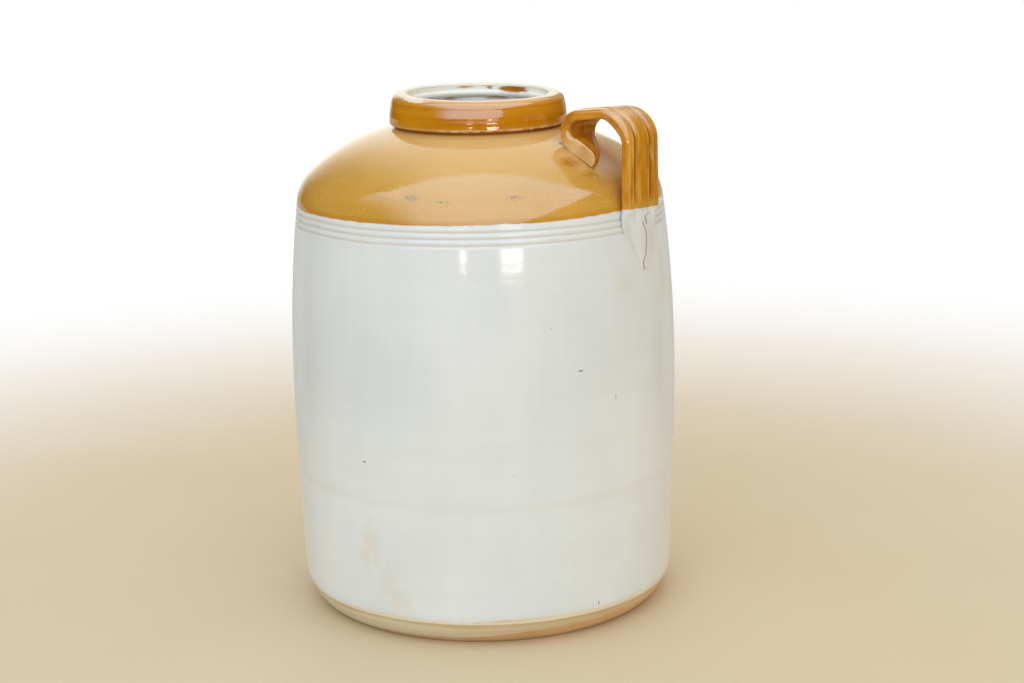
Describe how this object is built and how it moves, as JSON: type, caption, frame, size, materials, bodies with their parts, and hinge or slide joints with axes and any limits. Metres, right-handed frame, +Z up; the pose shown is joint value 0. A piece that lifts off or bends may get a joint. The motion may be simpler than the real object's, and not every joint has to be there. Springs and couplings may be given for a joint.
{
  "type": "stoneware storage jar",
  "caption": "Barrel-shaped glazed stoneware storage jar with a domed shoulder, a collar mouth with a lid ledge, and a grooved strap handle curled onto the shoulder.",
  "frame": {"origin": "centre of the flat foot, on the table", "axes": "+Z up along the jar's axis, +X towards the handle"},
  "size_m": [0.271, 0.27, 0.358],
  "materials": {
    "white_glaze": "glossy off-white glaze with soft throwing rings and a few pits",
    "ochre_glaze": "glossy mustard-ochre glaze, darker where it is thick, with fine speckle",
    "bare_clay": "bare fired stoneware, tan and matt, with a thin wash of glaze above it"
  },
  "bodies": {
    "root": {"base": "bare_clay", "body_wall": "white_glaze", "shoulder": "ochre_glaze", "gallery_ring": "white_glaze", "collar": "ochre_glaze", "handle_strap": "ochre_glaze", "handle_tail": "white_glaze"}
  },
  "joints": []
}
